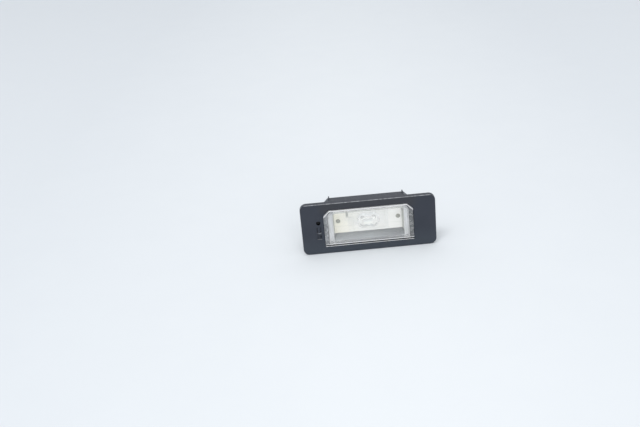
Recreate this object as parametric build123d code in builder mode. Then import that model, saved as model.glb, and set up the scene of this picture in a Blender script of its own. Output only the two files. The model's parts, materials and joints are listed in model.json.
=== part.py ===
"""Number plate lamp for a car: a black bezel with a clear window, and a box that goes into the body panel.

X runs along the lamp and Z up its face. The face looks along -Y, and the origin is the middle of the
rim that seats on the panel. Depths are measured along +Y, behind that seat. All sizes are millimetres.
"""
import os
from math import atan2, degrees, radians, sqrt, tan

from build123d import *

os.makedirs("parts", exist_ok=True)

# Bezel: the plate that shows from outside, hollow behind
bezel_width = 84.0
bezel_height = 34.0
bezel_corner = 4.0
bezel_depth = 3.2
face_wall = 2.2
rim_wall = 1.6
face_rounding = 0.6

# Lens: a clear cover with cut upper corners and a stepped lower edge, on a ledge round the cavity
border_side = 14.2
border_end = 4.9
lens_cut = 3.5
lens_wall = 2.4
lens_proud = 1.2
lens_rounding = 0.35
lens_step_height = 1.4
lens_step_depth = 1.0
lens_seam = 0.1
opening_bevel = 0.35
ledge_side = 2.3
ledge_end = 1.3
skirt_wall = 1.1
skirt_depth = 1.8
fit_gap = 0.1

# Box: drafted walls round the cavity behind the lens
box_wall = 1.6
box_depth = 17.5
rear_wall = 2.0
cavity_cut = 1.9
draft_angle = 1.2
box_rounding = 0.8
guide_rib_margin = 0.75
guide_rib_wall = 0.7
guide_rib_height = 1.2
guide_rib_length = 5.0

# Reflector tray: a funnel from the lens skirt to the board, with flat end bars and a fluted lower wall
tray_depth = 5.2
tray_wall = 0.8
tray_gap = 0.2
tray_bar = 2.2
tray_lean_side = 0.9
tray_lean_top = 1.7
mouth_cut = 2.2
flute_count = 5
flute_radius = 0.32

# Circuit board, and the two rivets that hold it to posts in the box
board_gap_side = 2.6
board_gap_end = 0.7
board_cut = 2.2
board_wall = 1.6
rivet_margin = 2.4
rivet_rise = 1.3
rivet_diameter = 1.8
rivet_length = 5.0
rivet_head_diameter = 2.8
rivet_head_height = 0.6
rivet_head_bevel = 0.4
post_size = 4.4
post_spare = 0.4
rest_margin = 2.4
rest_size = 2.2

# Light-emitting diode and the clear optic over it
led_drop = 0.8
led_width = 5.6
led_height = 3.2
led_wall = 0.75
led_cup_width = 4.8
led_cup_height = 2.4
led_cup_cut = 0.3
led_cup_depth = 0.45
led_clearance = 0.6
led_pocket_corner = 0.9
optic_gap_side = 5.0
optic_gap_end = 0.7
optic_base_wall = 0.9
optic_base_corner = 1.0
optic_lug_width = 2.6
optic_lug_height = 3.8
optic_lug_wall = 0.6
optic_lobe_offset = 3.2
optic_lobe_height = 4.0
optic_waist_height = 3.3
optic_axis_sink = 1.6
optic_rise = 0.6

# Chips on the back of the board: width, height and thickness
resistor_size = (3.2, 1.6, 0.6)
resistor_row_start = -12.0
resistor_pitch = 4.5
resistor_rise = 6.0
resistor_count = 4
capacitor_size = (2.0, 1.3, 0.9)
capacitor_x = -2.5
capacitor_drops = (2.6, 6.0)
diode_size = (4.3, 2.6, 2.0)
surge_size = (4.6, 3.6, 2.3)
diode_x = -9.5
diode_drop = 1.2
surge_margin = 4.0
lead_reach = 0.5
lead_wall = 0.3
lead_width = 1.4
body_cut = 0.25
chip_bevel = 0.12

# Plug socket in the box's back, with two bent terminals
socket_x = 10.0
socket_drop = 5.0
socket_width = 11.6
socket_height = 6.8
socket_corner = 1.0
socket_wall = 1.2
socket_reach = 5.5
socket_depth = 10.5
socket_floor = 1.6
latch_length = 3.0
latch_width = 4.0
latch_height = 0.9
latch_setback = 1.6
key_wall = 0.9
key_height = 0.8
terminal_pitch = 5.0
terminal_width = 1.5
terminal_gauge = 0.6
terminal_bend = 0.8
terminal_point = 0.2
blade_length = 5.6
tail_margin = 1.5
tail_length = 0.7
slot_clearance = 0.1
solder_margin = 0.5
solder_clearance = 0.2
solder_rise = 0.55
solder_slope = 30.0

# Hook on the right, which goes behind the panel's edge
panel_gap = 1.6
hook_reach = 4.2
hook_width = 10.0
hook_nose = 1.2
hook_depth = 3.2
hook_root = 6.0

# Release hole in the face, in front of the spring, and below it a recess: two grooves, a bar and a pocket
release_lead = 1.15
release_rise = 4.2
release_width = 2.6
release_height = 2.4
recess_gap = 1.3
recess_width = 2.8
recess_depth = 1.1
groove_width = 0.65
groove_height = 4.1
recess_bar = 0.6
recess_pocket_height = 3.9
dimple_width = 1.1
dimple_height = 0.9
dimple_depth = 0.7
dimple_margin = 1.6

# Hairpin spring on the left: a leg in a pocket, a turn behind it, a ramp, a crest and a release tab
spring_gauge = 0.5
spring_width = 8.0
spring_drop = 2.6
spring_turn = 1.0
spring_bend = 0.8
leg_depth = 7.0
ramp_spare = 0.2
crest_reach = 5.5
crest_depth = 4.2
foot_reach = 2.95
foot_depth = 0.9
tab_gap = 0.3
pocket_inner_wall = 0.6
pocket_outer_wall = 0.9
pocket_side_wall = 1.2
pocket_front = 1.6
pocket_setback = 1.2
pocket_clearance = 0.05

# Rubber seal in the hollow behind the bezel
seal_gap = 0.2
seal_proud = 0.8
seal_corner = 2.0
seal_clearance = 1.2
seal_bevel = 0.5

# Depths worked out from the sizes above
face = -bezel_depth
ledge = face - lens_proud + lens_wall
channel = face + face_wall
skirt_end = ledge + skirt_depth
board_front = skirt_end + tray_depth
board_back = board_front + board_wall
box_inside = box_depth - rear_wall
socket_mouth = box_depth + socket_reach
socket_end = socket_mouth - socket_depth
socket_inside = socket_end - socket_floor

# Widths and heights worked out from the sizes above
corner_growth = 2 - sqrt(2)
lens_width = bezel_width - 2 * border_side
lens_height = bezel_height - 2 * border_end
opening_width = lens_width + 2 * lens_seam
opening_height = lens_height + 2 * lens_seam
opening_cut = lens_cut + corner_growth * lens_seam
cavity_width = opening_width - 2 * ledge_side
cavity_height = opening_height - 2 * ledge_end
board_width = cavity_width - 2 * board_gap_side
board_height = cavity_height - 2 * board_gap_end
tail_drop = board_height / 2 - tail_margin
solder_width = terminal_width + 2 * solder_margin
solder_height = terminal_gauge + 2 * solder_margin
mouth_width = cavity_width - 2 * (fit_gap + skirt_wall + tray_bar + tray_lean_side)
mouth_top = cavity_height / 2 - fit_gap - skirt_wall - tray_lean_top
mouth_bottom = solder_height / 2 + solder_clearance + tray_wall - tail_drop
rivet_x = mouth_width / 2 - rivet_margin
optic_base_width = 2 * (rivet_x - rivet_head_diameter / 2 - optic_gap_side)
optic_base_height = mouth_top - mouth_bottom - 2 * optic_gap_end
optic_base_rise = (mouth_top + mouth_bottom) / 2


def behind_seat(depth):
    """Plane parallel to the face at a depth behind the seat, looked at from the front."""
    return Plane.XZ.offset(-depth)


def window_outline(depth, width, height, cut):
    """Rectangle whose two upper corners are cut off at 45 degrees."""
    with BuildSketch(behind_seat(depth)) as outline:
        Rectangle(width, height)
        chamfer(outline.vertices().group_by(Axis.Y)[-1], cut)
    return outline.sketch


def wall_spread(depth, grow=0.0):
    """How far the drafted cavity's walls stand out at a depth, from where they are at the ledge."""
    return grow - (depth - ledge) * tan(radians(draft_angle))


def cavity_outline(depth, grow=0.0):
    """Outline of the drafted cavity at a depth, grown outwards by a wall or inwards by a gap."""
    spread = wall_spread(depth, grow)
    return window_outline(
        depth, cavity_width + 2 * spread, cavity_height + 2 * spread, cavity_cut + corner_growth * spread
    )


def drafted_block(front, back, grow=0.0):
    """Block with the cavity's outline, grown by a wall, whose flat sides lean in towards its back."""
    with BuildPart() as block:
        extrude(cavity_outline(front, grow), amount=front - back)
        sides = block.faces().filter_by(lambda side: abs(side.normal_at().Y) < 0.5)
        draft(sides, behind_seat(front), -draft_angle)
    return block.part


def box_half_width(depth):
    """Half the width over the box's side walls at a depth."""
    return cavity_width / 2 + wall_spread(depth, box_wall)


def box_half_height(depth):
    """Half the height over the box's upper and lower walls at a depth."""
    return cavity_height / 2 + wall_spread(depth, box_wall)


def funnel(front_grow, mouth_grow, end_bar=0.0):
    """Block from the cavity's outline at the skirt's end to the tray's mouth, both grown by an amount.

    The front is narrowed by a bar at each end. Each flat wall leans in by its own angle, and the cut
    corners lean so that the mouth keeps its cut.
    """
    spread = wall_spread(skirt_end, front_grow)
    front_width = cavity_width + 2 * (spread - end_bar)
    front_height = cavity_height + 2 * spread
    lean_side = front_width / 2 - mouth_width / 2 - mouth_grow
    lean_top = front_height / 2 - mouth_top - mouth_grow
    lean_bottom = front_height / 2 + mouth_bottom - mouth_grow
    front_cut = cavity_cut + corner_growth * spread
    back_cut = mouth_cut + corner_growth * mouth_grow
    lean_corner = (back_cut - front_cut + lean_side + lean_top) / sqrt(2)
    walls = (
        (lambda faces: faces.sort_by(Axis.Z)[-3:-1], lean_corner),
        (lambda faces: faces.sort_by(Axis.X)[:1], lean_side),
        (lambda faces: faces.sort_by(Axis.X)[-1:], lean_side),
        (lambda faces: faces.sort_by(Axis.Z)[:1], lean_bottom),
        (lambda faces: faces.sort_by(Axis.Z)[-1:], lean_top),
    )
    with BuildPart() as block:
        extrude(window_outline(skirt_end, front_width, front_height, front_cut), amount=-tray_depth)
        for chosen, lean in walls:
            draft(chosen(block.faces()), behind_seat(skirt_end), -degrees(atan2(lean, tray_depth)))
    return block.part


def save(builder, name):
    """Label a finished piece and write it."""
    builder.part.label = name
    export_step(builder.part, f"parts/{name}.step")


# Places that several pieces share
rivet_places = [(side * rivet_x, rivet_rise) for side in (-1, 1)]
terminal_places = [socket_x + side * terminal_pitch / 2 for side in (-1, 1)]
rest_places = [
    (side * (board_width / 2 - rest_margin), board_height / 2 - rest_margin) for side in (-1, 1)
]
spring_leg_x = -(box_half_width(channel) + pocket_inner_wall + spring_gauge / 2)
spring_foot_x = -(box_half_width(channel) + foot_reach)
release_x = spring_foot_x - release_lead
spring_rise = release_rise - spring_drop
pocket_back = box_depth - pocket_setback
pocket_width = spring_width + 2 * pocket_clearance
slot_wall = spring_gauge + 2 * pocket_clearance


# Space inside the box: the drafted cavity, less the socket's inner end
with BuildPart() as cavity:
    add(drafted_block(ledge, box_inside))
    with BuildSketch(behind_seat(box_inside)):
        with Locations((socket_x, -socket_drop)):
            RectangleRounded(
                socket_width + 2 * socket_wall, socket_height + 2 * socket_wall, socket_corner + socket_wall
            )
    extrude(amount=box_inside - socket_inside, mode=Mode.SUBTRACT)

# Housing: bezel, box, socket, hook, spring pocket and board posts in one moulding
with BuildPart() as housing:
    with BuildSketch(behind_seat(0)):
        RectangleRounded(bezel_width, bezel_height, bezel_corner)
    extrude(amount=bezel_depth)
    fillet(housing.faces().sort_by(Axis.Y)[0].edges(), face_rounding)
    with BuildSketch(behind_seat(0)):
        RectangleRounded(
            bezel_width - 2 * rim_wall, bezel_height - 2 * rim_wall, bezel_corner - rim_wall
        )
    extrude(amount=bezel_depth - face_wall, mode=Mode.SUBTRACT)

    # Drafted box, rounded round its back edge
    add(drafted_block(channel, box_depth, box_wall))
    fillet(housing.faces().sort_by(Axis.Y)[-1].edges(), box_rounding)

    # Guide ribs that rise towards the back on the upper and lower walls
    top_half_width = cavity_outline(box_depth, box_wall).edges().sort_by(Axis.Z)[-1].length / 2
    guide_rib_x = top_half_width - guide_rib_margin
    for side in (-1, 1):
        for wall in (-1, 1):
            with BuildSketch(Plane.YZ.offset(side * guide_rib_x)):
                with BuildLine():
                    Polyline(
                        (box_depth - box_rounding, wall * (box_half_height(box_depth) + guide_rib_height)),
                        (box_depth - box_rounding, wall * cavity_height / 2),
                        (box_depth - guide_rib_length, wall * cavity_height / 2),
                        (box_depth - guide_rib_length, wall * box_half_height(box_depth)),
                        close=True,
                    )
                make_face()
            extrude(amount=guide_rib_wall / 2, both=True)

    # Hook with a lead-in nose
    hook_start = cavity_width / 2
    hook_end = box_half_width(channel) + hook_reach
    with BuildSketch(Plane.XY):
        with BuildLine():
            Polyline(
                (hook_start, panel_gap),
                (hook_end, panel_gap),
                (hook_end, panel_gap + hook_nose),
                (hook_end - hook_reach / 2, panel_gap + hook_depth),
                (box_half_width(hook_root), panel_gap + hook_root),
                (hook_start, panel_gap + hook_root),
                close=True,
            )
        make_face()
    extrude(amount=hook_width / 2, both=True)

    # Pocket for the spring's leg, open at the back
    pocket_outer = spring_leg_x - spring_gauge / 2 - pocket_clearance - pocket_outer_wall
    pocket_middle = (pocket_outer - cavity_width / 2) / 2
    with BuildSketch(behind_seat(pocket_back)):
        with Locations((pocket_middle, spring_rise)):
            Rectangle(-pocket_outer - cavity_width / 2, pocket_width + 2 * pocket_side_wall)
    extrude(amount=pocket_back - pocket_front)

    # Shroud of the plug socket, with its latch lug and key rib
    with BuildSketch(behind_seat(socket_mouth)):
        with Locations((socket_x, -socket_drop)):
            RectangleRounded(
                socket_width + 2 * socket_wall, socket_height + 2 * socket_wall, socket_corner + socket_wall
            )
    extrude(amount=socket_depth + socket_floor)
    latch_foot = -socket_drop + socket_height / 2 + socket_wall / 2
    latch_top = -socket_drop + socket_height / 2 + socket_wall + latch_height
    latch_back = socket_mouth - latch_setback
    with BuildSketch(Plane.YZ.offset(socket_x)):
        with BuildLine():
            Polyline(
                (latch_back, latch_foot),
                (latch_back, latch_top - latch_height),
                (latch_back - latch_length, latch_top),
                (latch_back - latch_length, latch_foot),
                close=True,
            )
        make_face()
    extrude(amount=latch_width / 2, both=True)
    with BuildSketch(behind_seat(socket_mouth - latch_setback)):
        with Locations((socket_x + (socket_width + socket_wall + key_height) / 2, -socket_drop)):
            Rectangle(socket_wall + key_height, key_wall)
    extrude(amount=socket_reach - latch_setback)

    # Opening for the lens, with a bevelled edge, and the cavity behind its ledge
    extrude(
        window_outline(ledge, opening_width, opening_height, opening_cut),
        amount=lens_wall,
        mode=Mode.SUBTRACT,
    )
    chamfer(housing.faces().sort_by(Axis.Y)[0].inner_wires()[0].edges(), opening_bevel)
    add(cavity.part, mode=Mode.SUBTRACT)

    # Square posts with blind holes for the rivets, and two plain rests at the board's upper corners
    with BuildSketch(behind_seat(box_inside)):
        with Locations(*rivet_places):
            Rectangle(post_size, post_size)
        with Locations(*rest_places):
            Rectangle(rest_size, rest_size)
    extrude(amount=box_inside - board_back)
    with BuildSketch(behind_seat(board_back)):
        with Locations(*rivet_places):
            Circle(rivet_diameter / 2)
    extrude(amount=board_wall - rivet_length - post_spare, mode=Mode.SUBTRACT)

    # Hollow of the socket, and the terminals' slots in its floor
    with BuildSketch(behind_seat(socket_mouth)):
        with Locations((socket_x, -socket_drop)):
            RectangleRounded(socket_width, socket_height, socket_corner)
    extrude(amount=socket_depth, mode=Mode.SUBTRACT)
    with BuildSketch(behind_seat(socket_end)):
        with Locations(*[(x, -socket_drop) for x in terminal_places]):
            Rectangle(terminal_width, terminal_gauge)
    extrude(amount=socket_floor, mode=Mode.SUBTRACT)

    # Slot in the spring's pocket
    with BuildSketch(behind_seat(pocket_back)):
        with Locations((spring_leg_x, spring_rise)):
            Rectangle(slot_wall, pocket_width)
    extrude(amount=pocket_back - pocket_front, mode=Mode.SUBTRACT)

    # Recess in the face: two upright grooves with a rib between them, and a pocket below the bar
    recess_top = release_rise - release_height / 2 - recess_gap
    groove_rise = recess_top - groove_height / 2
    groove_spread = (recess_width - groove_width) / 2
    recess_pocket_rise = recess_top - groove_height - recess_bar - recess_pocket_height / 2
    with BuildSketch(behind_seat(face)):
        with Locations(*[(release_x + side * groove_spread, groove_rise) for side in (-1, 1)]):
            Rectangle(groove_width, groove_height)
        with Locations((release_x, recess_pocket_rise)):
            Rectangle(recess_width, recess_pocket_height)
    extrude(amount=-recess_depth, mode=Mode.SUBTRACT)

    # Dimple in the floor of the pocket
    dimple_x = release_x + (recess_width - dimple_width) / 2
    dimple_rise = recess_pocket_rise - recess_pocket_height / 2 + dimple_margin
    with BuildSketch(behind_seat(face + recess_depth)):
        with Locations((dimple_x, dimple_rise)):
            Rectangle(dimple_width, dimple_height)
    extrude(amount=-dimple_depth, mode=Mode.SUBTRACT)

    # Release hole, flat at its top and round below
    release_flat = release_height - release_width / 2
    release_round_rise = release_rise - release_height / 2 + release_width / 2
    with BuildSketch(behind_seat(channel)):
        with Locations((release_x, release_round_rise)):
            Circle(release_width / 2)
        with Locations((release_x, release_round_rise + release_flat / 2)):
            Rectangle(release_width, release_flat)
    extrude(amount=face_wall, mode=Mode.SUBTRACT)
save(housing, "housing")

# Lens: plate with a stepped lower edge and rounded front edges, and a skirt that locates it in the cavity
with BuildPart() as lens:
    extrude(window_outline(ledge, lens_width, lens_height, lens_cut), amount=lens_wall)
    with BuildSketch(behind_seat(ledge - lens_wall)):
        with Locations((0, (lens_step_height - lens_height) / 2)):
            Rectangle(lens_width, lens_step_height)
    extrude(amount=-lens_step_depth, mode=Mode.SUBTRACT)
    fillet(lens.faces().sort_by(Axis.Y)[0].edges(), lens_rounding)
    extrude(cavity_outline(ledge, -fit_gap), amount=-skirt_depth)
    extrude(cavity_outline(ledge, -fit_gap - skirt_wall), amount=-skirt_depth, mode=Mode.SUBTRACT)
save(lens, "lens")

# Reflector tray: funnel walls between the skirt's end and the board
with BuildPart() as reflector_tray:
    add(funnel(-tray_gap, tray_wall))
    add(funnel(-fit_gap - skirt_wall, 0, tray_bar), mode=Mode.SUBTRACT)
    slope_front = -cavity_height / 2 - wall_spread(skirt_end, -fit_gap - skirt_wall)
    flute_shares = [(index + 0.5) / flute_count for index in range(flute_count)]
    with BuildSketch(Plane.YZ):
        with Locations(
            *[
                (skirt_end + share * tray_depth, slope_front + share * (mouth_bottom - slope_front))
                for share in flute_shares
            ]
        ):
            Circle(flute_radius)
    extrude(amount=mouth_width / 2, both=True, mode=Mode.SUBTRACT)
save(reflector_tray, "reflector_tray")

# Circuit board with its rivet holes and terminal slots
with BuildPart() as circuit_board:
    extrude(window_outline(board_back, board_width, board_height, board_cut), amount=board_wall)
    with BuildSketch(behind_seat(board_back)):
        with Locations(*rivet_places):
            Circle(rivet_diameter / 2 + slot_clearance)
        with Locations(*[(x, -tail_drop) for x in terminal_places]):
            Rectangle(terminal_width + 2 * slot_clearance, terminal_gauge + 2 * slot_clearance)
    extrude(amount=board_wall, mode=Mode.SUBTRACT)
save(circuit_board, "circuit_board")

# Rivets: a round stem through the board, and a bevelled head on it
for name, (x, z) in zip(("rivet_left", "rivet_right"), rivet_places):
    with BuildPart() as rivet:
        with BuildSketch(behind_seat(board_front)):
            with Locations((x, z)):
                Circle(rivet_head_diameter / 2)
        extrude(amount=rivet_head_height)
        chamfer(rivet.faces().sort_by(Axis.Y)[0].edges(), rivet_head_bevel)
        with BuildSketch(behind_seat(board_front)):
            with Locations((x, z)):
                Circle(rivet_diameter / 2)
        extrude(amount=-rivet_length)
    save(rivet, name)


def cup_outline():
    """Outline of the diode's cup: a rectangle with cut corners."""
    with BuildSketch(behind_seat(board_front - led_wall)) as outline:
        with Locations((0, -led_drop)):
            Rectangle(led_cup_width, led_cup_height)
        chamfer(outline.vertices(), led_cup_cut)
    return outline.sketch


# Diode package with a cup, and the phosphor that fills the cup
with BuildPart() as led_package:
    with BuildSketch(behind_seat(board_front)):
        with Locations((0, -led_drop)):
            Rectangle(led_width, led_height)
    extrude(amount=led_wall)
    extrude(cup_outline(), amount=-led_cup_depth, mode=Mode.SUBTRACT)
save(led_package, "led_package")

with BuildPart() as led_phosphor:
    extrude(cup_outline(), amount=-led_cup_depth)
save(led_phosphor, "led_phosphor")

# Beam optic: a peanut turned about a line along X, cut off at the board, on a thin base with a lug.
# Its profile is two round lobes joined by a hollow arc that touches both.
with BuildPart() as beam_optic:
    optic_axis = board_front + optic_axis_sink
    optic_end = optic_lobe_offset + optic_lobe_height
    waist_radius = (optic_lobe_offset**2 + optic_waist_height**2 - optic_lobe_height**2) / (
        2 * (optic_lobe_height - optic_waist_height)
    )
    waist_rise = optic_waist_height + waist_radius
    waist_angle = degrees(atan2(waist_rise, optic_lobe_offset))
    with BuildSketch(Plane.XY.offset(optic_rise)):
        with BuildLine():
            CenterArc((optic_lobe_offset, board_front), optic_lobe_height, 0, waist_angle - 180)
            CenterArc((0, board_front - waist_rise), waist_radius, waist_angle, 180 - 2 * waist_angle)
            CenterArc((-optic_lobe_offset, board_front), optic_lobe_height, -waist_angle, waist_angle - 180)
            Polyline(
                (-optic_end, board_front),
                (-optic_end, optic_axis),
                (optic_end, optic_axis),
                (optic_end, board_front),
            )
        make_face()
    revolve(axis=Axis((0, optic_axis, optic_rise), (1, 0, 0)))
    split(bisect_by=behind_seat(board_front), keep=Keep.TOP)
    with BuildSketch(behind_seat(board_front)):
        with Locations((0, optic_base_rise)):
            RectangleRounded(optic_base_width, optic_base_height, optic_base_corner)
    extrude(amount=optic_base_wall)
    with BuildSketch(behind_seat(board_front)):
        with Locations(
            (
                (optic_lug_width - optic_base_width) / 2,
                optic_base_rise + (optic_base_height - optic_lug_height) / 2,
            )
        ):
            Rectangle(optic_lug_width, optic_lug_height)
    extrude(amount=optic_base_wall + optic_lug_wall)
    with BuildSketch(behind_seat(board_front)):
        with Locations((0, -led_drop)):
            RectangleRounded(
                led_width + 2 * led_clearance, led_height + 2 * led_clearance, led_pocket_corner
            )
    extrude(amount=led_wall + led_clearance, mode=Mode.SUBTRACT)
save(beam_optic, "beam_optic")


def chip(x, z, size):
    """Plain chip that lies on the back of the board, with bevelled edges."""
    with BuildPart() as body:
        with BuildSketch(behind_seat(board_back)):
            with Locations((x, z)):
                Rectangle(size[0], size[1])
        extrude(amount=-size[2])
        chamfer(body.faces().sort_by(Axis.Y)[-1].edges(), chip_bevel)
    return body


def leaded_diode(x, z, size):
    """Moulded diode on the back of the board, with a flat lead at each end."""
    with BuildPart() as body:
        with BuildSketch(behind_seat(board_back)):
            with Locations((x, z)):
                Rectangle(size[0], size[1])
        extrude(amount=-size[2])
        chamfer(body.faces().sort_by(Axis.Y)[-1].edges(), body_cut)
        with BuildSketch(behind_seat(board_back)):
            with Locations((x, z)):
                Rectangle(size[0] + 2 * lead_reach, lead_width)
        extrude(amount=-lead_wall)
    return body


for index in range(resistor_count):
    resistor = chip(resistor_row_start + index * resistor_pitch, resistor_rise, resistor_size)
    save(resistor, f"resistor_{index + 1}")

for index, drop in enumerate(capacitor_drops):
    capacitor = chip(capacitor_x, -drop, capacitor_size)
    save(capacitor, f"capacitor_{index + 1}")

save(leaded_diode(diode_x, -diode_drop, diode_size), "polarity_diode")
save(leaded_diode(diode_x, surge_margin - board_height / 2, surge_size), "surge_diode")

# Terminals: a blade in the socket, a step down behind the board and a tail through it
terminal_step = (board_back + socket_inside) / 2
for name, x in zip(("terminal_left", "terminal_right"), terminal_places):
    with BuildPart() as terminal:
        with BuildSketch(Plane.YZ.offset(x)):
            with BuildLine():
                FilletPolyline(
                    (socket_end + blade_length, -socket_drop),
                    (terminal_step, -socket_drop),
                    (terminal_step, -tail_drop),
                    (board_front - tail_length, -tail_drop),
                    radius=terminal_bend,
                )
            trace(line_width=terminal_gauge)
        extrude(amount=terminal_width / 2, both=True)
        blade_end = terminal.faces().sort_by(Axis.Y)[-1]
        chamfer(blade_end.edges().filter_by(Axis.X), terminal_point)
    save(terminal, name)

# Solder round each terminal's tail, on the front of the board
with BuildPart() as terminal_solder:
    with BuildSketch(behind_seat(board_front)):
        with Locations(*[(x, -tail_drop) for x in terminal_places]):
            Rectangle(solder_width, solder_height)
    extrude(amount=solder_rise, taper=solder_slope)
    with BuildSketch(behind_seat(board_front)):
        with Locations(*[(x, -tail_drop) for x in terminal_places]):
            Rectangle(terminal_width, terminal_gauge)
    extrude(amount=tail_length, mode=Mode.SUBTRACT)
save(terminal_solder, "terminal_solder")

# Retaining spring: one bent strip
with BuildPart() as retaining_spring:
    ramp_x = spring_leg_x - 2 * spring_turn - ramp_spare
    crest_x = -box_half_width(channel) - crest_reach
    with BuildSketch(Plane.XY.offset(spring_rise)):
        with BuildLine():
            FilletPolyline(
                (spring_leg_x, pocket_back - leg_depth),
                (spring_leg_x, pocket_back + spring_turn + spring_gauge),
                (ramp_x, pocket_back + spring_turn + spring_gauge),
                (crest_x, crest_depth),
                (spring_foot_x, foot_depth),
                (spring_foot_x, channel + tab_gap),
                radius=[spring_turn, spring_turn, spring_bend, spring_bend],
            )
        trace(line_width=spring_gauge)
    extrude(amount=spring_width / 2, both=True)
save(retaining_spring, "retaining_spring")

# Flange seal: a ring that clears the box, the hook and the spring
with BuildPart() as flange_seal:
    seal_left = -box_half_width(channel) - crest_reach - seal_clearance
    seal_right = box_half_width(channel) + hook_reach + seal_clearance
    with BuildSketch(behind_seat(channel)):
        RectangleRounded(
            bezel_width - 2 * (rim_wall + seal_gap),
            bezel_height - 2 * (rim_wall + seal_gap),
            bezel_corner - rim_wall - seal_gap,
        )
        with Locations(((seal_left + seal_right) / 2, 0)):
            RectangleRounded(
                seal_right - seal_left,
                2 * (box_half_height(channel) + seal_gap),
                seal_corner,
                mode=Mode.SUBTRACT,
            )
    extrude(amount=channel - seal_proud)
    chamfer(flange_seal.faces().sort_by(Axis.Y)[-1].edges(), seal_bevel)
save(flange_seal, "flange_seal")
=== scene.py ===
import json
from math import cos, radians, sin, sqrt

import bpy
import numpy as np
from mathutils import Matrix, Vector


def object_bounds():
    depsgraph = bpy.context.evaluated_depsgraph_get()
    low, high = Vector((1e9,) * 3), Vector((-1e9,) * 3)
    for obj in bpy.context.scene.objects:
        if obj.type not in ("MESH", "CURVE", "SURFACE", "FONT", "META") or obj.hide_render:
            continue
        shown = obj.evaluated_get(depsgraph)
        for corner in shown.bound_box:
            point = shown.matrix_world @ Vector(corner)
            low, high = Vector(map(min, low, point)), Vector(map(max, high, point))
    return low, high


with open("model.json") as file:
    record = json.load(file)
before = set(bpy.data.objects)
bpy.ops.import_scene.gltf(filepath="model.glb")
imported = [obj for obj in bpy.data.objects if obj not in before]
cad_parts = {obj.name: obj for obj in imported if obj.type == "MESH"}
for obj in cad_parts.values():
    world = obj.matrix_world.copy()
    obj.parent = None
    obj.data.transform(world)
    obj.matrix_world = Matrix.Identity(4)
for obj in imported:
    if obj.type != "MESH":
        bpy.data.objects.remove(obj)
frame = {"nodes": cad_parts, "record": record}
cad_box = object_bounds()
nodes = frame["nodes"]

MM = 0.001
DIAGONAL = sqrt(0.5)


def node_box(name):
    """Least and greatest corner of a node, in millimetres."""
    mesh = nodes[name].data
    places = np.empty(3 * len(mesh.vertices))
    mesh.vertices.foreach_get("co", places)
    points = places.reshape(-1, 3) / MM
    return points.min(axis=0), points.max(axis=0)


# Where the photograph was taken from: degrees, metres and pixels of the picture
VIEW_AZIMUTH = -2.77
VIEW_ELEVATION = 25.23
VIEW_ROLL = -4.17
VIEW_DISTANCE = 0.5558
NEAREST_SEEN = 0.01
PICTURE_WIDTH = 640
LAMP_RIGHT_OF_MIDDLE = 48.66
LAMP_BELOW_MIDDLE = 9.44
FOCAL_LENGTH_MM = 50.0

# Room: a pale floor that curves up behind the lamp, and soft light, in metres and watts
FLOOR_COLOUR = (0.747, 0.782, 0.81)
# Painted shade: the floor darkens towards the far colour away from the lamp, over the fade
FLOOR_FAR_SHADE_COLOUR = (0.68, 0.717, 0.752)
FLOOR_SHADE_FADE = (0.06, 0.5)
FLOOR_SPREAD = (2.0, 0.3, 1.0)
FLOOR_MOTTLE = 0.06
FLOOR_REACH = 6.0
FLOOR_LINES = 33
COVE_PLACE = 1.6
COVE_RADIUS = 0.5
COVE_LINES = 24
SKY_COLOUR = (0.97, 0.98, 1.0)
SKY_STRENGTH = 0.86
STUDIO_LAMPS = (
    {"name": "overhead_lamp", "place": (-0.75, -1.35, 2.58), "width": 0.85, "power": 23.0},
    {"name": "front_lamp", "place": (0.50, -3.00, 1.33), "width": 1.7, "power": 34.0},
)

# Sizes and places on the lamp that no node's box gives, in millimetres from the middle of its seat
LENS_WALL = 2.4
LENS_CUT = 3.5
LENS_ROUNDING = 0.35
LENS_STEP_DEPTH = 1.0
LENS_STEP_HEIGHT = 1.4
LEDGE_WIDTH = 2.2
MOUTH_HALF_WIDTH = 21.3
MOUTH_TOP = 8.0
MOUTH_BOTTOM = -6.9
RELEASE_X = -31.28
RELEASE_RISE = 4.2
RELEASE_WIDTH = 2.6
RELEASE_HEIGHT = 2.4
RECESS_WIDTH = 2.8
RECESS_TOP = 1.7
RECESS_BOTTOM = -6.9
RECESS_DEPTH = 1.1
RECESS_BAR_RISE = -2.7
RECESS_BAR_HEIGHT = 0.4
# Painted highlight: a lighter bar across the release recess, at this shift and width
HIGHLIT_BAR_SHIFT = 0.3
HIGHLIT_BAR_WIDTH = 1.4
DIODE_HIGHLIGHT_HEIGHT = 1.1
SPRING_BEND = 4.1

# Places that looks fade in between, in millimetres: from nothing at the first to all at the second
STREAKS_BEHIND_SEAT = (0.0, 2.5)
# Painted light on the face below the window fades in over this range
PAINTED_LIGHT_BELOW_WINDOW = (-4.0, -13.0)
TONE_ABOVE_WINDOW = (9.0, 12.0)
TONE_BESIDE_WINDOW = (32.0, 27.0)
LEFT_TO_RIGHT_BOND = (-1.0, 1.0)
SKIRT_FROST = (2.0, -2.0)
TRAY_SHADE = (2.0, 16.0)
MASK_CREAM_TO_WHITE = (-20.0, -4.0)
OPTIC_ARCS = (0.6, 2.6)

# Small distances of wear, painted highlights, seams and marks, in millimetres
# The edge band is worn all round, and painted as a highlight along the upper edge
EDGE_WEAR_AND_HIGHLIGHT_START = 0.4
EDGE_WEAR_AND_HIGHLIGHT_END = 0.3
UPPER_EDGE_HIGHLIGHT_START = 1.0
UPPER_EDGE_HIGHLIGHT_END = 0.4
FACE_TONE_START = 0.38
FACE_TONE_END = 0.26
LEDGE_BAND = 0.2
BOND_FADE = 0.2
SPECK_PITCH = 6.0
OPTIC_MARK_PLACE = 3.7
OPTIC_MARK_WIDTH = 1.2

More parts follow.
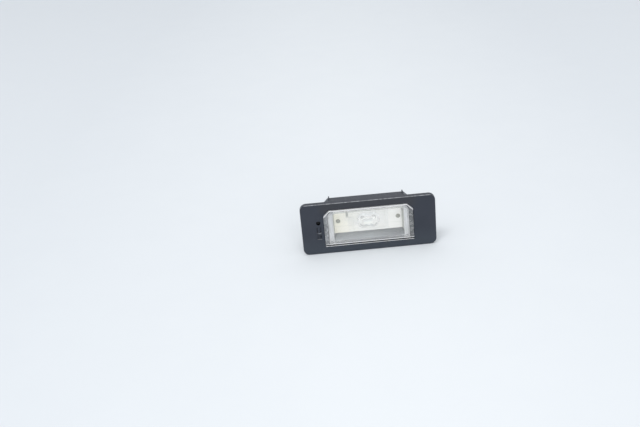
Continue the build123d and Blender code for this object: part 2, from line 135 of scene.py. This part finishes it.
# Gaps between the copper areas under the board's mask: middle across, middle up, width and height
COPPER_GAPS = (
    (-9.4, -1.4, 0.3, 11.0),
    (-12.0, 1.4, 5.2, 0.3),
    (-15.4, -2.4, 12.0, 0.3),
    (10.6, 2.6, 0.3, 10.8),
    (15.9, -2.8, 10.6, 0.3),
    (0.6, -5.2, 20.0, 0.3),
)

# Bare pads on the board: middle across, middle up, width, height, and how grey the pad is
BARE_PADS = (
    (-13.1, 5.6, 1.2, 3.4, 0.9),
    (-12.0, 3.2, 3.6, 0.5, 0.36),
)

# Places that follow from the nodes' boxes, in millimetres
(_, BEZEL_FACE, _), (BEZEL_HALF_WIDTH, _, BEZEL_HALF_HEIGHT) = node_box("housing")
(_, LENS_FRONT, _), (LENS_HALF_WIDTH, _, LENS_HALF_HEIGHT) = node_box("lens")
(_, TRAY_FRONT, _), _ = node_box("reflector_tray")
(_, _, DIODE_BOTTOM), (_, _, DIODE_TOP) = node_box("led_phosphor")
LENS_BACK = LENS_FRONT + LENS_WALL
LENS_STEP_FRONT = LENS_FRONT + LENS_STEP_DEPTH
LENS_STEP_RISE = LENS_STEP_HEIGHT - LENS_HALF_HEIGHT
CAVITY_HALF_WIDTH = LENS_HALF_WIDTH - LEDGE_WIDTH
RECESS_FLOOR = BEZEL_FACE + RECESS_DEPTH
DIODE_RISE = (DIODE_BOTTOM + DIODE_TOP) / 2

# Colours: red, green and blue from 0 to 1, in linear light
HOUSING_DARK = (0.0165, 0.0215, 0.0335)
HOUSING_LIGHT = (0.0215, 0.0265, 0.0395)
# Painted light: the housing's paler face below the window
HOUSING_PAINTED_LIGHT_BELOW_WINDOW = (0.0275, 0.0355, 0.0485)
HOUSING_ABOVE_WINDOW = (0.0225, 0.0250, 0.0325)
# Worn housing, also painted as highlights on the upper edge and the recess's ledges and bar
HOUSING_WORN_AND_HIGHLIT = (0.30, 0.31, 0.33)
# Painted shade in the release hole and on the ledge under the lens's step
HOUSING_PAINTED_SHADE = (0.002, 0.002, 0.002)
LEFT_BOND_DARK = (0.19, 0.195, 0.20)
LEFT_BOND_LIGHT = (0.36, 0.365, 0.38)
RIGHT_BOND_DARK = (0.14, 0.145, 0.15)
RIGHT_BOND_LIGHT = (0.20, 0.205, 0.21)
LENS_BODY = (0.93, 0.94, 0.95)
LENS_MOTTLED = (0.98, 0.98, 0.98)
LENS_PASSED_LIGHT = (0.985, 0.99, 0.99)
TRAY_DARK = (0.51, 0.51, 0.51)
TRAY_LIGHT = (0.68, 0.68, 0.68)
# Painted light: the tray's upper bar
TRAY_UPPER_BAR_PAINTED_LIGHT = (0.80, 0.79, 0.75)
# Painted shade: the tray's leaning ends
TRAY_LEANING_END_SHADE = (0.52, 0.53, 0.49)
# Painted shadow: the lower wall further in, near the board; painted shade towards the right
TRAY_SLOPE_INNER_SHADOW = (0.24, 0.25, 0.25)
TRAY_SLOPE_OUTER = (0.38, 0.39, 0.40)
TRAY_SLOPE_SHADED = (0.16, 0.165, 0.17)
MASK_CREAM = (0.91, 0.87, 0.75)
MASK_WHITE = (0.93, 0.91, 0.87)
MASK_OVER_GAP = (0.66, 0.67, 0.60)
PAD_GREY = (0.40, 0.40, 0.37)
OPTIC_BODY = (0.99, 0.995, 1.0)
OPTIC_GREY = (0.20, 0.20, 0.19)
OPTIC_PASSED_LIGHT = (1.0, 1.0, 1.0)
DIODE_DARK = (0.74, 0.74, 0.71)
DIODE_LIGHT = (0.80, 0.80, 0.77)
# Painted highlight: the diode's band across its middle
DIODE_HIGHLIGHT_DARK = (0.96, 0.95, 0.86)
DIODE_HIGHLIGHT_LIGHT = (0.98, 0.97, 0.92)
NYLON_DARK = (0.32, 0.32, 0.27)
NYLON_LIGHT = (0.38, 0.38, 0.33)
CERAMIC_DARK = (0.36, 0.25, 0.17)
CERAMIC_LIGHT = (0.42, 0.30, 0.20)
TIN_DARK = (0.58, 0.58, 0.56)
TIN_LIGHT = (0.70, 0.70, 0.68)
SOLDER_DARK = (0.60, 0.61, 0.62)
SOLDER_LIGHT = (0.72, 0.73, 0.74)
RUBBER_DARK = (0.013, 0.013, 0.014)
RUBBER_LIGHT = (0.026, 0.026, 0.027)
CHIP_BLACK = (0.018, 0.018, 0.020)
CHIP_GREY = (0.03, 0.03, 0.032)
STEEL_DARK = (0.30, 0.30, 0.31)
STEEL_LIGHT = (0.42, 0.42, 0.43)
# Painted shade on the spring's foot behind the release hole
STEEL_PAINTED_SHADE = (0.002, 0.002, 0.003)

# How far noise is followed to each side of its middle: over most of its range, or less for a harder mottle
NOISE_MIDDLE = 0.5
WIDE_REACH = 0.2
CORE_REACH = 0.15

# Sockets of a Mix node that blends colours
MIX_FIRST, MIX_SECOND, MIX_RESULT = 6, 7, 2


# Finishes


class Finish:
    """Material with one Principled shader, and short calls that add the nodes which feed it.

    Places, sizes and depths are in millimetres, and a share is a number from 0 to 1.
    """

    def __init__(self, name, **settings):
        self.material = bpy.data.materials.new(name)
        self.material.use_nodes = True
        self.tree = self.material.node_tree
        self.shader = self.tree.nodes["Principled BSDF"]
        self.paint(**settings)
        self.place = self.node("TexCoord", {}).outputs["Object"]
        self.x, self.y, self.z = self.node("SeparateXYZ", {"Vector": self.place}).outputs

    def feed(self, target, inputs):
        """Set a node's input sockets to constants, or link them to other nodes' outputs."""
        for key, value in inputs.items():
            socket = target.inputs[key]
            if isinstance(value, bpy.types.NodeSocket):
                self.tree.links.new(value, socket)
            elif socket.type == "RGBA":
                socket.default_value = (*value, 1)
            else:
                socket.default_value = value

    def paint(self, **inputs):
        """Feed the shader's sockets, named with a low line for each space, and give the material."""
        self.feed(self.shader, {socket.replace("_", " "): value for socket, value in inputs.items()})
        return self.material

    def node(self, kind, inputs, **settings):
        """Add a node of a kind, with its settings and its inputs."""
        made = self.tree.nodes.new("ShaderNode" + kind)
        for key, value in settings.items():
            setattr(made, key, value)
        self.feed(made, inputs)
        return made

    def normal(self):
        """The three parts of the direction that the surface faces, by the names of the axes."""
        return self.node("SeparateXYZ", {"Vector": self.node("NewGeometry", {}).outputs["Normal"]}).outputs

    def math(self, operation, first, *others):
        """Result of one arithmetic operation carried along several values."""
        result = first
        for other in others:
            result = self.node("Math", {0: result, 1: other}, operation=operation).outputs[0]
        return result

    def times(self, *shares):
        """Product of several shares."""
        return self.math("MULTIPLY", *shares)

    def most(self, *shares):
        """Largest of several shares."""
        return self.math("MAXIMUM", *shares)

    def unsigned(self, value):
        """A value without its sign."""
        return self.node("Math", {0: value}, operation="ABSOLUTE").outputs[0]

    def past(self, value, line):
        """How far a place is past a line, in metres."""
        return self.math("SUBTRACT", value, line * MM)

    def ramp(self, value, start, end, low=0.0, high=1.0):
        """Straight ramp that goes from low to high while a value goes from start to end."""
        inputs = {"Value": value, "From Min": start, "From Max": end, "To Min": low, "To Max": high}
        return self.node("MapRange", inputs).outputs["Result"]

    def fade(self, value, start, end, low=0.0, high=1.0):
        """Straight ramp that goes from low to high while a place goes from start to end."""
        return self.ramp(value, start * MM, end * MM, low, high)

    def within(self, value, middle, width, soft=0.1):
        """One where a place lies within a width about a middle, and zero outside a soft edge."""
        return self.fade(self.unsigned(self.past(value, middle)), start=width / 2 + soft, end=width / 2)

    def between(self, value, low, high, soft=0.1):
        """One where a place lies between two others, and zero outside a soft edge."""
        return self.within(value, (low + high) / 2, high - low, soft)

    def patch(self, x, z, width, height, soft):
        """One in a soft-edged rectangle on the face, and zero outside it."""
        return self.times(self.within(self.x, x, width, soft), self.within(self.z, z, height, soft))

    def noise(self, size, stretch=(1, 1, 1), detail=3):
        """Cloudy noise whose patches are about one size across, times a stretch for each axis."""
        scale = [1 / (size * MM * factor) for factor in stretch]
        scaled = self.node("Mapping", {"Vector": self.place, "Scale": scale}).outputs[0]
        return self.node("TexNoise", {"Vector": scaled, "Scale": 1.0, "Detail": detail}).outputs["Fac"]

    def levels(self, noise, low, high, reach=WIDE_REACH):
        """Number that goes from low to high with noise."""
        return self.ramp(noise, NOISE_MIDDLE - reach, NOISE_MIDDLE + reach, low, high)

    def tones(self, noise, dark, light, reach=WIDE_REACH):
        """Colour that goes from dark to light with noise."""
        return self.colours(noise, NOISE_MIDDLE - reach, dark, NOISE_MIDDLE + reach, light)

    def colours(self, value, start, first, end, last):
        """Colour that goes from the first to the last while a value goes from start to end."""
        ramp = self.node("ValToRGB", {"Fac": value})
        for element, position, colour in zip(ramp.color_ramp.elements, (start, end), (first, last)):
            element.position = position
            element.color = (*colour, 1)
        return ramp.outputs["Color"]

    def blend(self, share, first, second):
        """Colour that goes from the first to the second as a share goes from 0 to 1."""
        inputs = {0: share, MIX_FIRST: first, MIX_SECOND: second}
        return self.node("Mix", inputs, data_type="RGBA").outputs[MIX_RESULT]

    def bump(self, height, depth):
        """Dent the surface by a height from 0 to 1 that stands for a depth."""
        dented = self.node("Bump", {"Height": height, "Distance": depth * MM, "Strength": 1.0})
        self.paint(Normal=dented.outputs["Normal"])

    def let_light_through(self, tint):
        """Let shadow rays and diffuse rays pass straight through, so that what is inside is lit."""
        path = self.node("LightPath", {})
        either = self.most(path.outputs["Is Shadow Ray"], path.outputs["Is Diffuse Ray"])
        passing = self.node("BsdfTransparent", {"Color": tint})
        mix = self.node("MixShader", {0: either, 1: self.shader.outputs[0], 2: passing.outputs[0]})
        self.feed(self.tree.nodes["Material Output"], {"Surface": mix.outputs[0]})


def worn_and_highlit_places(finish, on_face):
    """Where the housing is paler: worn streaks, specks and edges, and painted light on its upper edge and
    the recess's ledges and bar.
    """
    draw_lines = finish.noise(size=0.4, stretch=(1, 40, 1))
    streaks = finish.times(
        finish.ramp(draw_lines, start=0.52, end=0.72, high=0.07),
        finish.fade(finish.y, *STREAKS_BEHIND_SEAT),
    )
    past_side = finish.past(finish.unsigned(finish.x), BEZEL_HALF_WIDTH)
    past_end = finish.past(finish.unsigned(finish.z), BEZEL_HALF_HEIGHT)
    past_top = finish.past(finish.z, BEZEL_HALF_HEIGHT)
    # Worn edges all round, and a painted highlight along the face's upper edge
    edge = finish.times(
        finish.fade(finish.most(past_side, past_end), start=-EDGE_WEAR_AND_HIGHLIGHT_START, end=-EDGE_WEAR_AND_HIGHLIGHT_END),
        finish.fade(past_top, start=-UPPER_EDGE_HIGHLIGHT_START, end=-UPPER_EDGE_HIGHLIGHT_END, low=0.12),
        on_face,
        finish.ramp(finish.noise(size=0.9, detail=5), start=0.32, end=0.6, low=0.2),
    )
    cells = finish.node("TexVoronoi", {"Vector": finish.place, "Scale": 1 / (SPECK_PITCH * MM)})
    specks = finish.ramp(cells.outputs["Distance"], start=0.04, end=0.02, high=0.6)
    # Painted light on the recess's ledges that face up
    ledges = finish.times(
        finish.within(finish.x, RELEASE_X, RECESS_WIDTH),
        finish.between(finish.z, RECESS_BOTTOM, RECESS_TOP),
        finish.between(finish.y, BEZEL_FACE, RECESS_FLOOR, soft=0.02),
        finish.ramp(finish.normal()["Z"], start=0.5, end=0.9, high=0.65),
    )
    # Painted highlight across the recess's bar
    bar = finish.times(
        finish.within(finish.x, RELEASE_X + HIGHLIT_BAR_SHIFT, HIGHLIT_BAR_WIDTH, soft=0.4),
        finish.within(finish.z, RECESS_BAR_RISE, RECESS_BAR_HEIGHT),
        finish.fade(finish.y, start=BEZEL_FACE + 0.1, end=BEZEL_FACE, high=0.5),
    )
    return finish.most(streaks, edge, specks, ledges, bar)


def face_black(finish, on_face, clouds):
    """Cloudy black of the housing, with painted light that makes the face paler below the window, and
    warmer above it.
    """
    # Painted light: the face is paler below the window
    below = finish.times(on_face, finish.fade(finish.z, *PAINTED_LIGHT_BELOW_WINDOW))
    above = finish.times(
        on_face,
        finish.fade(finish.z, *TONE_ABOVE_WINDOW),
        finish.fade(finish.unsigned(finish.x), *TONE_BESIDE_WINDOW),
    )
    plain = finish.tones(clouds, HOUSING_DARK, HOUSING_LIGHT)
    return finish.blend(above, finish.blend(below, plain, HOUSING_PAINTED_LIGHT_BELOW_WINDOW), HOUSING_ABOVE_WINDOW)


def bonded_ledge(finish, black, on_ledge):
    """The housing's black, with a mottled grey bond on the ledge at the lens's ends, above its step."""
    side = finish.unsigned(finish.x)
    bonded = finish.times(
        on_ledge,
        finish.fade(side, start=CAVITY_HALF_WIDTH - BOND_FADE, end=CAVITY_HALF_WIDTH),
        finish.fade(side, start=LENS_HALF_WIDTH + 0.3, end=LENS_HALF_WIDTH + 0.2),
        finish.between(finish.z, LENS_STEP_RISE, LENS_HALF_HEIGHT),
    )
    mottle = finish.noise(size=1.5)
    left = finish.tones(mottle, LEFT_BOND_DARK, LEFT_BOND_LIGHT, CORE_REACH)
    right = finish.tones(mottle, RIGHT_BOND_DARK, RIGHT_BOND_LIGHT, CORE_REACH)
    bond = finish.blend(finish.fade(finish.x, *LEFT_TO_RIGHT_BOND), left, right)
    return finish.blend(bonded, black, bond)


def housing_plastic():
    """Satin black plastic with a fine grain, worn in places and painted with highlights, and a grey bond
    on the lens's ledge.

    The release hole is painted black as shade and has no gloss. The ledge is painted black as shade too
    where the lens's step covers it.
    """
    finish = Finish("housing_plastic")
    on_face = finish.fade(finish.y, start=BEZEL_FACE + FACE_TONE_START, end=BEZEL_FACE + FACE_TONE_END)
    on_ledge = finish.within(finish.y, LENS_BACK, LEDGE_BAND)
    clouds = finish.noise(size=14)
    worn_and_highlit = finish.blend(
        worn_and_highlit_places(finish, on_face),
        face_black(finish, on_face, clouds),
        HOUSING_WORN_AND_HIGHLIT,
    )
    # Painted shade: the release hole and the ledge under the lens's step are painted black, and the hole
    # loses its gloss
    hole = finish.times(
        finish.within(finish.x, RELEASE_X, RELEASE_WIDTH),
        finish.within(finish.z, RELEASE_RISE, RELEASE_HEIGHT),
        finish.fade(finish.y, start=BEZEL_FACE + 0.05, end=BEZEL_FACE + 0.15),
    )
    shaded_under_step = finish.times(
        on_ledge,
        finish.fade(finish.unsigned(finish.x), start=LENS_HALF_WIDTH + 0.1, end=LENS_HALF_WIDTH),
        finish.between(finish.z, -LENS_HALF_HEIGHT, LENS_STEP_RISE),
    )
    dark = finish.most(hole, shaded_under_step)
    shade_roughness = finish.ramp(dark, start=0, end=1, high=0.9)
    finish.bump(finish.noise(size=0.14, detail=2), depth=0.004)
    return finish.paint(
        Base_Color=finish.blend(dark, bonded_ledge(finish, worn_and_highlit, on_ledge), HOUSING_PAINTED_SHADE),
        Roughness=finish.most(finish.levels(clouds, low=0.34, high=0.42), shade_roughness),
        Specular_IOR_Level=finish.ramp(hole, start=0, end=1, low=0.42, high=0.0),
    )


def lens_clear():
    """Clear cover with a polished face, frosted white strips along its upper edge, lower edge and step
    edge that stand in as painted highlights, and a frosted lower skirt.

    The ends of its back are mottled where they are bonded, and the face of its step has less gloss.
    """
    finish = Finish("lens_clear", IOR=1.5)
    side = finish.unsigned(finish.x)
    past_top = finish.past(finish.z, LENS_HALF_HEIGHT)
    past_bottom = finish.math("SUBTRACT", -LENS_HALF_HEIGHT * MM, finish.z)
    cut_line = LENS_HALF_WIDTH + LENS_HALF_HEIGHT - LENS_CUT
    past_cut = finish.times(finish.past(finish.math("ADD", side, finish.z), cut_line), DIAGONAL)
    over_step = finish.past(finish.z, LENS_STEP_RISE)
    # Frosted white strips on the edges stand in as painted highlights
    upper_edge = finish.fade(
        finish.most(past_top, past_cut),
        start=-LENS_ROUNDING - 0.1,
        end=-LENS_ROUNDING,
        high=0.6,
    )
    low_edge = finish.times(
        finish.fade(past_bottom, start=-0.25, end=-0.15),
        finish.fade(finish.y, start=LENS_STEP_FRONT + 0.65, end=LENS_STEP_FRONT + 0.5, high=0.85),
    )
    step_edge = finish.times(
        finish.within(over_step, LENS_ROUNDING + 0.12, width=0.2, soft=0.06),
        finish.fade(finish.y, start=LENS_STEP_FRONT - 0.1, end=LENS_STEP_FRONT - 0.2, high=0.85),
    )
    mottle = finish.levels(finish.noise(size=1.5), low=0.10, high=0.26, reach=CORE_REACH)
    bond = finish.times(
        mottle,
        finish.fade(over_step, start=0.0, end=0.2),
        finish.fade(finish.y, start=LENS_BACK - 0.3, end=LENS_BACK - 0.1),
        finish.fade(side, start=CAVITY_HALF_WIDTH - BOND_FADE, end=CAVITY_HALF_WIDTH),
    )
    low_skirt = finish.times(
        finish.fade(finish.y, start=LENS_BACK + 0.05, end=LENS_BACK + 0.2, high=0.2),
        finish.fade(finish.z, *SKIRT_FROST),
    )
    frosted = finish.most(upper_edge, low_edge, step_edge, bond, low_skirt)
    step_face = finish.times(
        finish.within(finish.y, LENS_STEP_FRONT, width=0.1, soft=0.05),
        finish.fade(over_step, start=0.0, end=-0.1),
        finish.fade(past_bottom, start=-0.3, end=-0.4),
    )
    finish.let_light_through(LENS_PASSED_LIGHT)
    return finish.paint(
        Base_Color=finish.blend(mottle, LENS_BODY, LENS_MOTTLED),
        Transmission_Weight=finish.math("SUBTRACT", 1.0, frosted),
        Roughness=finish.ramp(frosted, start=0.0, end=0.3, low=0.01, high=0.4),
        Specular_IOR_Level=finish.ramp(step_face, start=0, end=1, low=0.5, high=0.1),
    )


def tray_plastic():
    """White reflector plastic with painted light on its upper bar, painted shade on its greyer leaning
    ends, and a grey lower wall and bar.

    The lower wall is darker further in, near the board, as painted shadow, and towards the right as
    painted shade.
    """
    finish = Finish("tray_plastic")
    side = finish.unsigned(finish.x)
    clouds = finish.noise(size=0.9, stretch=(1, 1, 9))
    white = finish.tones(clouds, TRAY_DARK, TRAY_LIGHT, CORE_REACH)
    inside = finish.fade(finish.y, start=TRAY_FRONT + 0.05, end=TRAY_FRONT + 0.15)
    across_mouth = finish.fade(side, start=MOUTH_HALF_WIDTH + 0.4, end=MOUTH_HALF_WIDTH)
    over_mouth = finish.fade(finish.z, start=MOUTH_TOP, end=MOUTH_TOP + 0.2)
    under_mouth = finish.fade(finish.z, start=MOUTH_BOTTOM - 1.0, end=MOUTH_BOTTOM - 1.5)
    past_mouth = finish.fade(side, start=MOUTH_HALF_WIDTH - 0.1, end=MOUTH_HALF_WIDTH)
    # Painted light: the upper bar is paler
    upper_bar = finish.times(across_mouth, over_mouth)
    low_bar = finish.times(across_mouth, under_mouth)
    # Painted shade: the leaning ends are greyer
    leaning_end = finish.times(inside, past_mouth)
    low_wall = finish.times(inside, finish.fade(finish.z, start=MOUTH_BOTTOM + 0.3, end=MOUTH_BOTTOM))
    # Painted shadow on the lower wall further in, near the board, and painted shade towards the right
    slope = finish.blend(
        finish.fade(finish.z, start=MOUTH_BOTTOM, end=MOUTH_BOTTOM - 2.5),
        TRAY_SLOPE_INNER_SHADOW,
        TRAY_SLOPE_OUTER,
    )
    shaded = finish.blend(finish.fade(finish.x, *TRAY_SHADE, high=0.5), slope, TRAY_SLOPE_SHADED)
    bright = finish.blend(upper_bar, white, TRAY_UPPER_BAR_PAINTED_LIGHT)
    ends = finish.blend(leaning_end, bright, TRAY_LEANING_END_SHADE)
    finish.bump(finish.noise(size=0.25, detail=2), depth=0.01)
    return finish.paint(
        Base_Color=finish.blend(finish.most(low_wall, low_bar), ends, shaded),
        Roughness=finish.levels(clouds, low=0.28, high=0.4),
    )


def board_white():
    """White solder mask that warms to cream at its left end, with faint copper gaps and bare pads."""
    finish = Finish("board_white")
    clouds = finish.noise(size=7)
    whiteness = finish.math(
        "ADD",
        finish.fade(finish.x, *MASK_CREAM_TO_WHITE),
        finish.levels(clouds, low=-0.15, high=0.15),
    )
    mask = finish.colours(whiteness, start=0.0, first=MASK_CREAM, end=1.0, last=MASK_WHITE)
    gaps = finish.most(*[finish.patch(*gap, soft=0.15) for gap in COPPER_GAPS])
    pads = finish.most(*[finish.times(finish.patch(*pad, soft=0.3), grey) for *pad, grey in BARE_PADS])
    printed = finish.blend(finish.ramp(gaps, start=0, end=1, high=0.3), mask, MASK_OVER_GAP)
    finish.bump(gaps, depth=-0.03)
    return finish.paint(
        Base_Color=finish.blend(pads, printed, PAD_GREY),
        Roughness=finish.levels(clouds, low=0.3, high=0.42),
    )


def optic_clear():
    """Clear moulded acrylic with whitish frost on its two lobes' flanks as painted highlight, grey arcs as
    painted reflection, grey marks, and grey cut walls.

    Each is where the surface turns away from the front by some amount: facing is 1 where it looks straight
    to the front or the back, and upright is 1 where it looks straight up or down.
    """
    finish = Finish("optic_clear", IOR=1.49)
    normal = finish.normal()
    facing = finish.unsigned(normal["Y"])
    upright = finish.unsigned(normal["Z"])
    side = finish.unsigned(finish.x)
    # Whitish frost on the flanks, partly a painted highlight
    flanks = finish.times(
        finish.ramp(facing, start=0.76, end=0.66),
        finish.ramp(upright, start=0.3, end=0.6, low=0.35, high=0.85),
        finish.ramp(normal["Z"], start=-0.1, end=-0.3, low=1.0, high=0.4),
    )
    # Painted reflection: grey arcs where the lobes' lower sides reflect dark
    low_arcs = finish.times(
        finish.ramp(facing, start=0.91, end=0.86),
        finish.ramp(facing, start=0.80, end=0.85),
        finish.ramp(normal["Z"], start=-0.1, end=-0.25),
        finish.fade(side, *OPTIC_ARCS),
    )
    upper_marks = finish.times(
        finish.ramp(facing, start=0.89, end=0.85),
        finish.ramp(facing, start=0.70, end=0.74),
        finish.ramp(normal["Z"], start=0.1, end=0.25, high=0.55),
        finish.within(side, OPTIC_MARK_PLACE, OPTIC_MARK_WIDTH, soft=0.8),
    )
    cut_walls = finish.times(
        finish.ramp(facing, start=0.25, end=0.10, high=0.3),
        finish.ramp(upright, start=0.7, end=0.3),
    )
    least_frost = 0.04
    grey = finish.most(low_arcs, upper_marks, cut_walls)
    grey_frost = finish.ramp(grey, start=0, end=1, high=0.7)
    frosted = finish.most(flanks, grey_frost, least_frost)
    finish.bump(finish.noise(size=2.4, detail=1), depth=0.01)
    finish.let_light_through(OPTIC_PASSED_LIGHT)
    return finish.paint(
        Base_Color=finish.blend(grey, OPTIC_BODY, OPTIC_GREY),
        Transmission_Weight=finish.math("SUBTRACT", 1.0, frosted),
        Roughness=finish.ramp(frosted, start=0.06, end=0.4, low=0.01, high=0.3),
    )


def moulded(name, dark, light, patch, roughness, grain=0.2, depth=0.01):
    """Small moulded or fired piece: two close tones in patches, with a grain of a size and a depth."""
    finish = Finish(name)
    clouds = finish.noise(size=patch)
    spread = 0.05
    finish.bump(finish.noise(size=grain, detail=2), depth)
    return finish.paint(
        Base_Color=finish.tones(clouds, dark, light),
        Roughness=finish.levels(clouds, low=roughness + spread, high=roughness - spread),
    )


def diode_face(name, patch, grain):
    """Pale silicone or cup plastic of the diode, with a painted highlight in a level band across its
    middle.
    """
    finish = Finish(name)
    clouds = finish.noise(size=patch)
    finish.bump(finish.noise(size=grain, detail=2), depth=0.01)
    # Painted highlight: the band across the middle is paler
    return finish.paint(
        Base_Color=finish.blend(
            finish.within(finish.z, DIODE_RISE, DIODE_HIGHLIGHT_HEIGHT, soft=0.15),
            finish.tones(clouds, DIODE_DARK, DIODE_LIGHT),
            finish.tones(clouds, DIODE_HIGHLIGHT_DARK, DIODE_HIGHLIGHT_LIGHT),
        ),
        Roughness=finish.levels(clouds, low=0.48, high=0.38),
    )


def drawn_lines(finish, stretch):
    """Fine lines drawn in metal along a stretch, which dent it a little."""
    lines = finish.noise(size=0.12, stretch=stretch)
    finish.bump(lines, depth=0.006)
    return lines


def metal(name, dark, light, stretch, roughness):
    """Bare metal with fine lines drawn along a stretch, and dull patches."""
    finish = Finish(name, Metallic=1.0)
    lines = drawn_lines(finish, stretch)
    patches = finish.noise(size=2.2)
    spread = 0.08
    dullness = finish.levels(patches, low=roughness, high=roughness - spread)
    return finish.paint(
        Base_Color=finish.tones(patches, dark, light),
        Roughness=finish.math("ADD", finish.levels(lines, low=0.0, high=0.12), dullness),
    )


def spring_steel():
    """Spring steel with fine lines along the strip, painted black as shade before its bend, behind the
    release hole.
    """
    finish = Finish("spring_steel", Metallic=1.0)
    lines = drawn_lines(finish, stretch=(1, 1, 30))
    steel = finish.tones(finish.noise(size=2.2), STEEL_DARK, STEEL_LIGHT)
    # Painted shade: the foot before the bend is black and duller
    foot = finish.fade(finish.y, start=SPRING_BEND + 0.6, end=SPRING_BEND)
    foot_dullness = finish.ramp(foot, start=0, end=1, high=0.2)
    return finish.paint(
        Base_Color=finish.blend(foot, steel, STEEL_PAINTED_SHADE),
        Roughness=finish.math("ADD", finish.levels(lines, low=0.28, high=0.4), foot_dullness),
    )


finishes = {
    "housing_plastic": housing_plastic(),
    "lens_clear": lens_clear(),
    "tray_plastic": tray_plastic(),
    "board_white": board_white(),
    "led_body": diode_face("led_body", patch=0.8, grain=0.2),
    "phosphor": diode_face("phosphor", patch=0.5, grain=0.1),
    "optic_clear": optic_clear(),
    "rivet_nylon": moulded("rivet_nylon", NYLON_DARK, NYLON_LIGHT, patch=0.7, roughness=0.45),
    "resistor_black": moulded("resistor_black", CHIP_BLACK, CHIP_GREY, patch=0.6, roughness=0.3),
    "capacitor_tan": moulded("capacitor_tan", CERAMIC_DARK, CERAMIC_LIGHT, patch=0.5, roughness=0.4),
    "diode_black": moulded("diode_black", CHIP_BLACK, CHIP_GREY, patch=0.9, roughness=0.6),
    "terminal_tin": metal("terminal_tin", TIN_DARK, TIN_LIGHT, stretch=(1, 24, 1), roughness=0.3),
    "solder": metal("solder", SOLDER_DARK, SOLDER_LIGHT, stretch=(1, 1, 1), roughness=0.26),
    "spring_steel": spring_steel(),
    "seal_rubber": moulded(
        "seal_rubber", RUBBER_DARK, RUBBER_LIGHT, patch=3.0, roughness=0.72, grain=0.4, depth=0.04
    ),
}
for row in frame["record"]["subparts"]:
    mesh = nodes[row["node"]].data
    mesh.materials.clear()
    mesh.materials.append(finishes[row["material_slot"]])


# Room


def floor_paper():
    """Pale matt paper with a faint mottle, and painted shade that makes it a little darker away from the
    lamp, mostly to its sides.
    """
    finish = Finish("floor_paper", Roughness=0.9, Specular_IOR_Level=0.2)
    spread = finish.node("Mapping", {"Vector": finish.place, "Scale": FLOOR_SPREAD}).outputs[0]
    away = finish.node("VectorMath", {0: spread}, operation="LENGTH").outputs["Value"]
    mottle = finish.levels(finish.noise(size=30, detail=4), low=-FLOOR_MOTTLE, high=FLOOR_MOTTLE)
    share = finish.math("ADD", finish.ramp(away, *FLOOR_SHADE_FADE), mottle)
    return finish.paint(
        Base_Color=finish.colours(share, start=0.0, first=FLOOR_COLOUR, end=1.0, last=FLOOR_FAR_SHADE_COLOUR)
    )


def grid_faces(rows, columns):
    """Corner numbers of the squares between the points of a grid, row by row.

    A square's corners are its first point, the next in the row, and the two that lie one row further.
    """
    first = np.arange(rows * columns).reshape(rows, columns)[:-1, :-1].ravel()
    return np.stack([first, first + 1, first + columns + 1, first + columns], axis=1)


def make_floor():
    """Floor at the lamp's lowest point: a profile of depth and height, carried straight across.

    The profile is level up to the cove. There its depth goes on by the radius times the sine of an angle,
    and its height by the radius times one less its cosine, while the angle goes up to a quarter turn.
    """
    across = np.linspace(-FLOOR_REACH, FLOOR_REACH, FLOOR_LINES)
    flat = np.linspace(-FLOOR_REACH, COVE_PLACE, FLOOR_LINES)
    turn = np.linspace(0.0, np.pi / 2, COVE_LINES + 1)[1:]
    depth = np.concatenate([flat, COVE_PLACE + COVE_RADIUS * np.sin(turn)])
    height = cad_box[0].z + np.concatenate([np.zeros_like(flat), COVE_RADIUS * (1 - np.cos(turn))])
    x, y = np.meshgrid(across, depth)
    z = np.meshgrid(across, height)[1]
    points = np.stack([x, y, z], axis=-1).reshape(-1, 3)
    mesh = bpy.data.meshes.new("floor")
    mesh.from_pydata(points.tolist(), [], grid_faces(len(depth), len(across)).tolist())
    mesh.polygons.foreach_set("use_smooth", np.full(len(mesh.polygons), True))
    mesh.materials.append(floor_paper())
    floor = bpy.data.objects.new("floor", mesh)
    bpy.context.scene.collection.objects.link(floor)
    return floor


make_floor()

world = bpy.data.worlds.new("soft_sky")
world.use_nodes = True
sky = world.node_tree.nodes["Background"].inputs
sky["Color"].default_value = (*SKY_COLOUR, 1)
sky["Strength"].default_value = SKY_STRENGTH
bpy.context.scene.world = world


def studio_lamp(name, place, width, power):
    """Square lamp that shines from a place towards the origin."""
    data = bpy.data.lights.new(name, "AREA")
    data.shape = "SQUARE"
    data.size = width
    data.energy = power
    lamp = bpy.data.objects.new(name, data)
    aim = (-Vector(place)).to_track_quat("-Z", "Y").to_matrix().to_4x4()
    lamp.matrix_world = Matrix.Translation(place) @ aim
    bpy.context.scene.collection.objects.link(lamp)


for row in STUDIO_LAMPS:
    studio_lamp(**row)

# Camera
azimuth, elevation, roll = radians(VIEW_AZIMUTH), radians(VIEW_ELEVATION), radians(VIEW_ROLL)
back = Vector((sin(azimuth) * cos(elevation), -cos(azimuth) * cos(elevation), sin(elevation)))
level_right = Vector((cos(azimuth), sin(azimuth), 0.0))
level_up = back.cross(level_right)
right = cos(roll) * level_right + sin(roll) * level_up
up = cos(roll) * level_up - sin(roll) * level_right
turn = Matrix((right, up, back)).transposed().to_4x4()
camera_data = bpy.data.cameras.new("camera")
camera_data.lens = FOCAL_LENGTH_MM
camera_data.shift_x = -LAMP_RIGHT_OF_MIDDLE / PICTURE_WIDTH
camera_data.shift_y = LAMP_BELOW_MIDDLE / PICTURE_WIDTH
camera_data.clip_start = NEAREST_SEEN
camera = bpy.data.objects.new("camera", camera_data)
camera.matrix_world = Matrix.Translation(back * VIEW_DISTANCE) @ turn
bpy.context.scene.collection.objects.link(camera)
bpy.context.scene.camera = camera

bpy.context.scene.view_settings.view_transform = "Standard"
